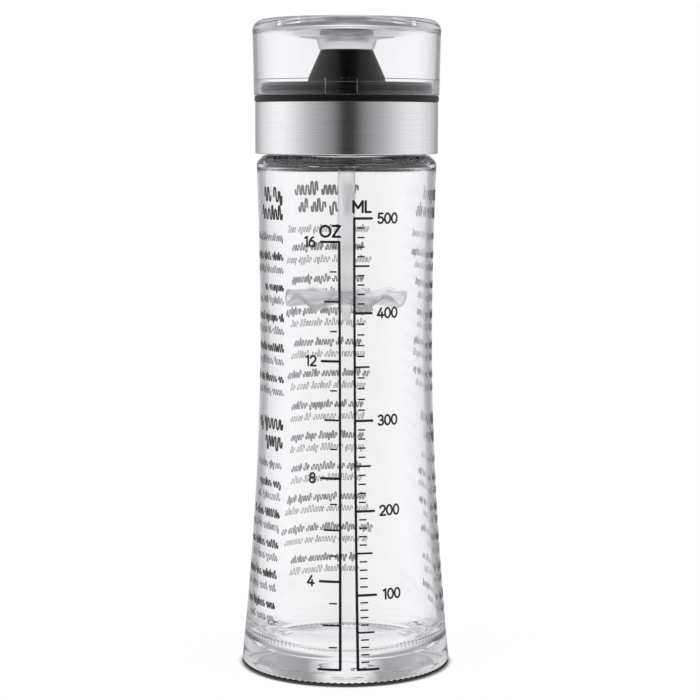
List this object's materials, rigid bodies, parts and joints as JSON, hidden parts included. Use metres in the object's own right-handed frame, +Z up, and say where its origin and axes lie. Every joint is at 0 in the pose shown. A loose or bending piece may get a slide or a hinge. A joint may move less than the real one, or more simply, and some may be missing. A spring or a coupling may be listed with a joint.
{
  "type": "salad dressing shaker bottle",
  "caption": "Waisted glass shaker bottle with screw cap, pour spout, clear push-on lid and a hanging wavy mixer.",
  "frame": {"origin": "middle of the base, on the surface the bottle stands on", "axes": "+Z up the bottle's axis, front towards -Y"},
  "size_m": [0.079, 0.079, 0.2436],
  "materials": {
    "clear_glass": "clear polished glass",
    "clear_acrylic": "clear polished plastic",
    "black_plastic": "satin black moulded plastic",
    "brushed_steel": "brushed round the sleeve",
    "black_rubber": "matt rubber",
    "seal_silicone": "soft white silicone",
    "frosted_silicone": "frosted translucent silicone",
    "frosted_plastic": "frosted translucent plastic"
  },
  "bodies": {
    "bottle": {"glass_bottle": "clear_glass"},
    "sealing_ring": {"neck_gasket": "seal_silicone"},
    "friction_ring": {"lid_o_ring": "black_rubber"},
    "cap": {"screw_cap": "black_plastic", "steel_collar": "brushed_steel", "spout_cone": "black_plastic", "spout_gasket": "seal_silicone", "rod_holder": "black_plastic"},
    "lid": {"clear_lid": "clear_acrylic", "spout_plug": "frosted_silicone"},
    "mixer": {"mixer_rod": "frosted_plastic", "mixer_disc": "frosted_plastic"}
  },
  "joints": [
    {"name": "cap_lift", "type": "slide", "parent": "bottle", "child": "sealing_ring", "axis": [0, 0, 1], "range_m": [0, 0.095]},
    {"name": "cap_rise", "type": "slide", "parent": "sealing_ring", "child": "friction_ring", "axis": [0, 0, 1], "range_m": [0, 0.005]},
    {"name": "cap_twist", "type": "hinge", "parent": "friction_ring", "child": "cap", "pos_m": [0, 0, 0.2], "axis": [0, 0, 1], "range_deg": [0, 450]},
    {"name": "lid_lift", "type": "slide", "parent": "cap", "child": "lid", "axis": [0, 0, 1], "range_m": [0, 0.04]},
    {"name": "mixer_pull", "type": "slide", "parent": "cap", "child": "mixer", "axis": [0, 0, -1], "range_m": [0, 0.012]}
  ],
  "couplings": [
    {"joint": "cap_rise", "follows": "cap_twist", "m_per_rad": 0.00063662}
  ]
}
